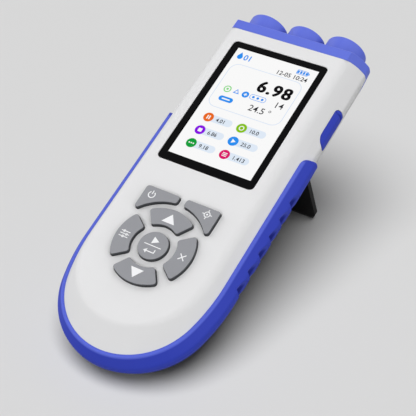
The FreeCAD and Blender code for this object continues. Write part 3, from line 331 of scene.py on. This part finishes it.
finishes = {
    "front_cover": casing_abs,
    "rear_cover": casing_abs,
    "bumper_band": band_elastomer_painted_shade,
    "end_cap": cap_abs,
    "case_seal": seal_rubber,
    "screen_lens": cover_glass,
    "lens_gasket": mask_film,
    "display_module": panel_glass,
    "display_tray": inner_abs,
    "display_ribbon": polyimide,
    "main_board": solder_mask,
    "board_chips": chip_epoxy,
    "key_switches": chip_epoxy,
    "buzzer": chip_epoxy,
    "board_screws": zinc_steel,
    "battery_pack": pouch_foil,
    "battery_pad": foam,
    "sensor_board": solder_mask,
    "bnc_socket_left": nickel,
    "bnc_socket_right": nickel,
    "bnc_insulators": insulator_ptfe,
    "pin_socket": nickel,
    "pin_socket_insulator": inner_abs,
    "socket_contacts": gold,
    "socket_nuts": nickel,
    "socket_washers": zinc_steel,
    "usb_board": solder_mask,
    "usb_receptacle": zinc_steel,
    "usb_cover": band_elastomer,
    "usb_cover_anchor": band_elastomer,
    "kickstand": stand_nylon,
    "stand_foot": foot_rubber,
    "stand_pins": zinc_steel,
    "case_screws": zinc_steel,
    "rear_feet": foot_rubber,
}
key_nodes = [name for name in nodes if name.startswith("key_") and name != "key_switches"]


# Moulded pieces: the frame's solids with their facets joined and shaded smooth

smooth_limit = math.cos(math.radians(29))
merge_distance = 0.002 * mm
sliver_length = 0.001 * mm


def shade_evenly(mesh):
    """Smooth each facet's corners with those neighbours that turn little, the large ones most."""
    around = [[] for point in mesh.vertices]
    for face in mesh.polygons:
        for corner in face.vertices:
            around[corner].append(face)
    turned = []
    for face in mesh.polygons:
        own = face.normal.copy()
        for corner in face.vertices:
            # A trace of its own direction, so that a corner of slivers still has one
            total = own * 1e-12
            for other in around[corner]:
                if own.dot(other.normal) > smooth_limit:
                    total += other.normal * other.area
            turned.append(total.normalized())
    mesh.shade_smooth()
    mesh.normals_split_custom_set(turned)


def smoothed_copy(node):
    """A copy of a frame node whose facets are merged and shaded smooth up to sharp edges."""
    mesh = nodes[node].data.copy()
    shape = bmesh.new()
    shape.from_mesh(mesh)
    bmesh.ops.remove_doubles(shape, verts=shape.verts, dist=merge_distance)
    bmesh.ops.dissolve_degenerate(shape, edges=shape.edges, dist=sliver_length)
    shape.to_mesh(mesh)
    shape.free()
    mesh.materials.clear()
    shade_evenly(mesh)
    piece = bpy.data.objects.new(node + "_finished", mesh)
    bpy.context.scene.collection.objects.link(piece)
    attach(piece, find_body(node))
    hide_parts(node)
    return piece


def print_lens_border(lens):
    """Black ink round the lens: its faces are cut along the window and those outside it inked."""
    lens.materials.append(mask_film)
    shape = bmesh.new()
    shape.from_mesh(lens)
    bmesh.ops.transform(shape, verts=shape.verts, matrix=case_to_row.inverted())
    sides = (
        (window_width / 2, Vector((1, 0, 0))),
        (window_width / 2, Vector((-1, 0, 0))),
        (window_length / 2 + window_offset_y, Vector((0, 1, 0))),
        (window_length / 2 - window_offset_y, Vector((0, -1, 0))),
    )
    for reach, outwards in sides:
        bmesh.ops.bisect_plane(
            shape, geom=shape.verts[:] + shape.edges[:] + shape.faces[:], dist=0.001,
            plane_co=outwards * reach, plane_no=outwards
        )
    for face in shape.faces:
        middle = face.calc_center_median()
        if any(middle.dot(outwards) > reach for reach, outwards in sides):
            face.material_index = 1
    bmesh.ops.transform(shape, verts=shape.verts, matrix=case_to_row)
    shape.to_mesh(lens)
    shape.free()


def paint_key_top(cap):
    """Paint on a key's top faces; its walls keep the moulded colour."""
    painted_depth = 0.6
    least_facing = 0.5
    cap.materials.append(key_wall_abs)
    cap.materials.append(key_paint)
    for face in cap.polygons:
        height = (case_to_row.inverted() @ face.center).z
        if face.normal.dot(face_normal) > least_facing and height > key_top - painted_depth:
            face.material_index = 1


for node, finish in finishes.items():
    smoothed_copy(node).data.materials.append(finish)
print_lens_border(bpy.data.objects["screen_lens_finished"].data)
for node in key_nodes:
    paint_key_top(smoothed_copy(node).data)


# Flat prints: legends on the keys and the picture on the display

def place_print(shape, name, height, finish, body):
    """Turn a flat drawing in millimetres into a piece that lies at one height on the case."""
    bmesh.ops.recalc_face_normals(shape, faces=shape.faces)
    for face in shape.faces:
        if face.normal.z < 0:
            face.normal_flip()
    bmesh.ops.translate(shape, verts=shape.verts, vec=(0, 0, height))
    bmesh.ops.transform(shape, verts=shape.verts, matrix=case_to_row)
    mesh = bpy.data.meshes.new(name)
    shape.to_mesh(mesh)
    shape.free()
    mesh.materials.append(finish)
    piece = bpy.data.objects.new(name, mesh)
    bpy.context.scene.collection.objects.link(piece)
    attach(piece, body)


def add_disc(shape, x, y, radius, segments=40):
    """A filled circle."""
    bmesh.ops.create_circle(
        shape, cap_ends=True, segments=segments, radius=radius, matrix=Matrix.Translation((x, y, 0))
    )


def add_block(shape, x, y, width, height, corner=0.0, turn=0.0):
    """A filled rectangle, its corners rounded where a radius is given."""
    matrix = (
        Matrix.Translation((x, y, 0)) @ Matrix.Rotation(turn, 4, "Z")
        @ Matrix.Diagonal((width / 2, height / 2, 1, 1))
    )
    made = bmesh.ops.create_grid(shape, x_segments=1, y_segments=1, size=1, matrix=matrix)
    if corner > 0:
        bmesh.ops.bevel(
            shape, geom=made["verts"], offset=corner, segments=8, profile=0.5,
            affect="VERTICES", material=-1
        )


def add_triangle(shape, *points):
    """A filled triangle."""
    shape.faces.new([shape.verts.new((x, y, 0)) for x, y in points])


def add_ring(shape, x, y, radius, line, start=0.0, sweep=360.0, steps=48):
    """A circular line, or part of one: a short stroke across the line, spun round the centre."""
    angle = math.radians(start)
    ends = [
        shape.verts.new((x + reach * math.cos(angle), y + reach * math.sin(angle), 0))
        for reach in (radius - line / 2, radius + line / 2)
    ]
    bmesh.ops.spin(
        shape, geom=[*ends, shape.edges.new(ends)], cent=(x, y, 0), axis=(0, 0, 1),
        angle=math.radians(sweep), steps=steps, use_merge=(sweep == 360)
    )


def add_frame(shape, x, y, width, height, corner, line):
    """A rounded rectangle drawn as a line."""
    start = set(shape.verts)
    add_block(shape, x, y, width, height, corner)
    inner = [face for face in shape.faces if not start.intersection(face.verts)]
    bmesh.ops.inset_individual(shape, faces=inner, thickness=line, use_even_offset=True)
    bmesh.ops.delete(shape, geom=inner, context="FACES_ONLY")


def add_figures(shape, words, x, y, height, weight=0.0, align="LEFT", spread=1.0):
    """Plain numbers, x at the given side and y at their foot."""
    figure_height_at_size_one = 0.72
    curve = bpy.data.curves.new("figures", "FONT")
    curve.body = words
    curve.size = height / figure_height_at_size_one
    curve.offset = weight
    curve.align_x = align
    curve.space_character = spread
    holder = bpy.data.objects.new("figures", curve)
    bpy.context.scene.collection.objects.link(holder)
    bpy.context.view_layer.update()
    mesh = bpy.data.meshes.new_from_object(holder)
    figures = bmesh.new()
    figures.from_mesh(mesh)
    bmesh.ops.remove_doubles(figures, verts=figures.verts, dist=0.001)
    bmesh.ops.translate(figures, verts=figures.verts, vec=(x, y, 0))
    figures.to_mesh(mesh)
    figures.free()
    shape.from_mesh(mesh)
    bpy.data.objects.remove(holder)
    bpy.data.curves.remove(curve)
    bpy.data.meshes.remove(mesh)


def add_bold_figures(shape, words, x, y, height, weight, spread):
    """Plain numbers in a bold face: several light ones side by side."""
    for step in range(-2, 3):
        for lift in (-0.5, 0.5):
            add_figures(
                shape, words, x + weight * step / 2, y + weight * lift, height,
                weight=0.04, align="RIGHT", spread=spread
            )


# Legends on the keys, in white ink; those that are centred on a point have it named here

legend_line = 0.55
thin_line = 0.45
stroke_corner = 0.2
power_middle = Vector((-16.25, -62.9))
calibrate_middle = Vector((15.6, -62.2))
set_middle = Vector((-16.6, -87.5))
escape_middle = Vector((16.65, -87.5))


def legend(name, node, draw):
    """One key's legend: draw fills the flat drawing."""
    shape = bmesh.new()
    draw(shape)
    place_print(shape, name, key_top + print_height, legend_ink, find_body(node))


def draw_power(shape):
    """A broken ring with an upright stroke."""
    x, y = power_middle
    add_ring(shape, x, y, 1.75, legend_line, start=125, sweep=290)
    add_block(shape, x, y + 1.4, legend_line, 2.2, stroke_corner)


def draw_calibrate(shape):
    """A target: ring, centre dot and four ticks."""
    x, y = calibrate_middle
    tick_line = legend_line * 0.8
    tick_reach = 2.15
    add_ring(shape, x, y, 1.45, tick_line)
    add_disc(shape, x, y, 0.5)
    for step in range(4):
        turn = step * math.pi / 2
        across = x + tick_reach * math.cos(turn)
        along = y + tick_reach * math.sin(turn)
        add_block(shape, across, along, 1.1, tick_line, turn=turn)


def draw_up(shape):
    """A triangle that points to the screen."""
    add_triangle(shape, (0, -68.75), (-3.6, -73.9), (3.6, -73.9))


def draw_down(shape):
    """A triangle that points away from the screen."""
    add_triangle(shape, (0, -106.4), (3.6, -101.25), (-3.6, -101.25))


def draw_set(shape):
    """Three sliders."""
    x, y = set_middle
    for row, knob in ((1.5, -0.9), (0.0, 1.1), (-1.5, -0.2)):
        add_block(shape, x, y + row, 5.2, thin_line, stroke_corner)
        add_disc(shape, x + knob, y + row, 0.72, 24)


def draw_escape(shape):
    """A cross."""
    for turn in (45, -45):
        add_block(shape, *escape_middle, 4.6, legend_line, stroke_corner, turn=math.radians(turn))


def draw_enter(shape):
    """A play triangle over a line over a return arrow."""
    arrow_y = -91.2
    add_triangle(shape, (2.1, -84.9), (-1.5, -82.9), (-1.5, -86.9))
    add_block(shape, 0, -87.8, 9.5, thin_line)
    add_block(shape, 0.4, arrow_y, 4.4, legend_line)
    add_block(shape, 2.6, arrow_y + 0.8, legend_line, 2.1)
    add_triangle(shape, (-3.3, arrow_y), (-1.5, arrow_y - 1.3), (-1.5, arrow_y + 1.3))


legend("legend_power", "key_power", draw_power)
legend("legend_calibrate", "key_cal", draw_calibrate)
legend("legend_up", "key_up", draw_up)
legend("legend_down", "key_down", draw_down)
legend("legend_set", "key_set", draw_set)
legend("legend_escape", "key_esc", draw_escape)
legend("legend_enter", "key_enter", draw_enter)


# Picture on the display: flat layers, each a hair above the one before

layer_step = 0.012
page_margin = 0.6

# The camera sees the picture through the lens, from the right and from below, so it lies a
# little to the left of the window and above it
picture_shift = Vector((-0.48, 0.43, 0))

# Lights of the panel, even and without a surface of their own
page_light = lit("page_light", "FFFFFF")
frame_light = lit("frame_light", "D8E6FA")
pill_light = lit("pill_light", "E4EFFC")
sky_light = lit("sky_light", "2C92F5")
ink_light = lit("ink_light", "101012")
text_light = lit("text_light", "26262B")
green_light = lit("green_light", "7EDB7A")
leaf_light = lit("leaf_light", "12A13C")
lime_light = lit("lime_light", "8AC516")
violet_light = lit("violet_light", "8A0BE8")
rose_light = lit("rose_light", "E0186C")
amber_light = lit("amber_light", "EE6B1E")

# Rows and columns of the picture
battery_middle = Vector((16.7, 33.6))
drop_middle = Vector((-20.2, 31.9))
badge_row = 10.4
green_x = -15.4
warning_x = -9.9
plus_x = -4.6
dots_x = 2.8
tag_middle = Vector((-12.85, 4.0))
button_rows = (-9.4, -18.1, -26.9)
button_columns = (-15.4, 4.36)
button_radius = 2.85
pill_length = 14.0
pill_height = 4.4
pill_figure_start = 4.6


def picture(name, layer, finish, draw):
    """One colour of the picture: draw fills the flat drawing."""
    shape = bmesh.new()
    draw(shape)
    bmesh.ops.translate(shape, verts=shape.verts, vec=picture_shift)
    height = display_top + layer_step * (layer + 1)
    place_print(shape, name, height, finish, "case")


def draw_page(shape):
    """The white page, a little larger than the window."""
    width = window_width + page_margin
    add_block(shape, 0, window_offset_y, width, window_length + page_margin, 0.3)


def draw_card(shape):
    """The pale outline round the reading."""
    add_frame(shape, -0.15, 12.5, 42.9, 29.8, 5.0, 0.35)


def draw_pills(shape):
    """Six pale pills, each with its round button at its left end."""
    for x in button_columns:
        for y in button_rows:
            add_block(shape, x + pill_length / 2, y, pill_length, pill_height, 2.1)


def draw_pill_figures(shape):
    """A plain number in each pill."""
    rows = (("4.01", "10.0"), ("6.86", "25.0"), ("9.18", "1.413"))
    for y, row in zip(button_rows, rows):
        for x, words in zip(button_columns, row):
            add_figures(shape, words, x + pill_figure_start, y - 1.15, 2.3, weight=0.04)


def draw_blue_marks(shape):
    """The page's drop, the battery, the badges of the card."""
    x, y = drop_middle
    add_disc(shape, x, y, 1.6)
    add_triangle(shape, (x, y + 3.2), (x - 1.4, y + 0.7), (x + 1.4, y + 0.7))
    add_figures(shape, "01", x + 2.3, y - 1.3, 3.6, weight=0.1)
    x, y = battery_middle
    add_frame(shape, x, y, 6.6, 3.0, 0.7, 0.3)
    for step in range(4):
        add_block(shape, x - 2.4 + step * 1.6, y, 1.1, 1.8)
    add_block(shape, x + 3.7, y, 0.5, 1.2)
    add_disc(shape, plus_x, badge_row, 2.0)
    add_frame(shape, dots_x, badge_row, 9.4, 3.4, 1.5, 0.28)
    for step in (-1, 0, 1):
        add_disc(shape, dots_x + step * 2.6, badge_row, 0.75, 24)
    add_block(shape, *tag_middle, 8.3, 3.2, 1.5)
    foot = badge_row - 1.2
    add_triangle(
        shape, (warning_x, badge_row + 1.8), (warning_x - 1.8, foot), (warning_x + 1.8, foot)
    )


def draw_white_marks(shape):
    """White strokes on the blue badges."""
    add_block(shape, plus_x, badge_row, 2.0, 0.5)
    add_block(shape, plus_x, badge_row, 0.5, 2.0)
    add_block(shape, *tag_middle, 4.8, 0.8, 0.35)
    foot = badge_row - 0.7
    add_triangle(
        shape, (warning_x, badge_row + 1.0), (warning_x - 1.0, foot), (warning_x + 1.0, foot)
    )


def draw_green_mark(shape):
    """A ring round a dot."""
    add_ring(shape, green_x, badge_row, 1.85, 0.6)
    add_disc(shape, green_x, badge_row, 0.7, 24)


def draw_reading(shape):
    """The large reading of the card."""
    add_bold_figures(shape, "6.98", 18.4, 14.7, 7.2, 0.34, 1.15)


def draw_small_figures(shape):
    """The second reading with its degree ring, the row of digits on top and a count."""
    add_figures(shape, "24.5", 10.4, 2.0, 3.9, weight=0.03, align="RIGHT")
    add_ring(shape, 12.9, 5.0, 0.6, 0.3, steps=24)
    add_figures(shape, "12-05 10:24", 21.3, 28.4, 2.7, weight=0.05, align="RIGHT")
    add_figures(shape, "14", 15.4, 8.3, 3.8, weight=0.03, align="CENTER")


def one_button(column, row):
    """The drawing of one round button."""
    def draw(shape):
        add_disc(shape, button_columns[column], button_rows[row], button_radius)
    return draw


def draw_button_marks(shape):
    """A white motif in each round button: bars, ring, square, triangle, dots and lines."""
    left, right = button_columns
    top, middle, bottom = button_rows
    add_block(shape, left - 0.6, top, 0.7, 2.4)
    add_block(shape, left + 0.6, top, 0.7, 2.4)
    add_ring(shape, right, top, 1.2, 0.5)
    add_block(shape, left, middle, 2.2, 2.2, 0.3)
    add_triangle(shape, (right + 1.4, middle), (right - 0.8, middle + 1.3), (right - 0.8, middle - 1.3))
    for step in (-1, 0, 1):
        add_disc(shape, left + step * 1.2, bottom, 0.42, 20)
        add_block(shape, right, bottom + step * 0.9, 2.6, 0.45)


picture("display_page", 0, page_light, draw_page)
picture("display_card", 1, frame_light, draw_card)
picture("display_pills", 1, pill_light, draw_pills)
picture("display_pill_figures", 2, text_light, draw_pill_figures)
picture("display_blue_marks", 2, sky_light, draw_blue_marks)
picture("display_white_marks", 3, page_light, draw_white_marks)
picture("display_green_mark", 2, green_light, draw_green_mark)
picture("display_reading", 2, ink_light, draw_reading)
picture("display_small_figures", 2, text_light, draw_small_figures)
picture("display_button_amber", 3, amber_light, one_button(0, 0))
picture("display_button_lime", 3, lime_light, one_button(1, 0))
picture("display_button_violet", 3, violet_light, one_button(0, 1))
picture("display_button_blue", 3, sky_light, one_button(1, 1))
picture("display_button_leaf", 3, leaf_light, one_button(0, 2))
picture("display_button_rose", 3, rose_light, one_button(1, 2))
picture("display_button_marks", 4, page_light, draw_button_marks)


# Floor, light and camera

def two_tones(tree, elsewhere, seen_as):
    """A colour that the camera sees, also in a mirror or through glass, and another elsewhere."""
    light_path = add_node(tree, "ShaderNodeLightPath", {})
    seen = light_path.outputs["Is Camera Ray"]
    for other in ("Is Glossy Ray", "Is Transmission Ray"):
        both = {0: seen, 1: light_path.outputs[other]}
        seen = add_node(tree, "ShaderNodeMath", both, operation="ADD").outputs[0]
    tones = {"Factor": seen, "A": linear(elsewhere), "B": linear(seen_as)}
    return add_node(tree, "ShaderNodeMix", tones, data_type="RGBA").outputs["Result"]


def make_floor():
    """A plain pale floor that takes the meter's shadow."""
    shape = bmesh.new()
    bmesh.ops.create_grid(shape, x_segments=1, y_segments=1, size=6.0)
    mesh = bpy.data.meshes.new("floor")
    shape.to_mesh(mesh)
    shape.free()
    material, tree, shader = new_finish("floor_paper_grey")
    tree.links.new(two_tones(tree, "606060", "DADADA"), shader.inputs["Base Color"])
    shader.inputs["Roughness"].default_value = 0.9
    shader.inputs["Specular IOR Level"].default_value = 0.1
    mesh.materials.append(material)
    floor = bpy.data.objects.new("floor", mesh)
    bpy.context.scene.collection.objects.link(floor)
    return floor


def light_group(name, floor, state):
    """What a lamp reaches: the floor alone, or everything but the floor."""
    group = bpy.data.collections.new(name)
    group.objects.link(floor)
    group.collection_objects[0].light_linking.link_state = state
    return group


def add_lamp(name, azimuth, elevation, spread, strength, group):
    """A far soft lamp; azimuth 0 shines from behind the meter, -90 from its left."""
    data = bpy.data.lights.new(name, "SUN")
    data.angle = math.radians(spread)
    data.energy = strength
    lamp = bpy.data.objects.new(name, data)
    bpy.context.scene.collection.objects.link(lamp)
    lamp.light_linking.receiver_collection = group
    turn = math.radians(azimuth)
    rise = math.radians(elevation)
    away = Vector((math.sin(turn) * math.cos(rise), math.cos(turn) * math.cos(rise), math.sin(rise)))
    lamp.rotation_mode = "QUATERNION"
    lamp.rotation_quaternion = (-away).to_track_quat("-Z", "Y")


# One steep lamp gives the floor its shadow, and four lower ones light the meter
studio_floor = make_floor()
floor_alone = light_group("floor_alone", studio_floor, "INCLUDE")
meter_alone = light_group("meter_alone", studio_floor, "EXCLUDE")
add_lamp("lamp_floor", 172, 76, 54, 3.0, floor_alone)
add_lamp("lamp_left", -98, 27, 50, 1.6, meter_alone)
add_lamp("lamp_right", 98, 27, 50, 1.55, meter_alone)
add_lamp("lamp_front", 180, 20, 40, 1.35, meter_alone)
add_lamp("lamp_back", 0, 50, 50, 1.35, meter_alone)

world = bpy.data.worlds.new("studio")
world.use_nodes = True
backdrop = world.node_tree.nodes["Background"]
world.node_tree.links.new(two_tones(world.node_tree, "3C3C3C", "D9D9D9"), backdrop.inputs["Color"])
bpy.context.scene.world = world
bpy.context.scene.view_settings.view_transform = "Standard"

# The camera's place and the point it looks at, in the case frame, solved from the photograph
camera_place = Vector((234.1, -256.3, 413.9))
camera_target = Vector((13.0, -57.8, 0.0))
camera_data = bpy.data.cameras.new("camera")
camera_data.lens = 91.57
camera_data.sensor_width = 36.0
camera_data.clip_start = 0.05
camera_data.clip_end = 20.0
camera = bpy.data.objects.new("camera", camera_data)
bpy.context.scene.collection.objects.link(camera)
eye = case_to_row @ camera_place
camera.location = eye
camera.rotation_mode = "QUATERNION"
camera.rotation_quaternion = ((case_to_row @ camera_target) - eye).to_track_quat("-Z", "Y")
bpy.context.scene.camera = camera
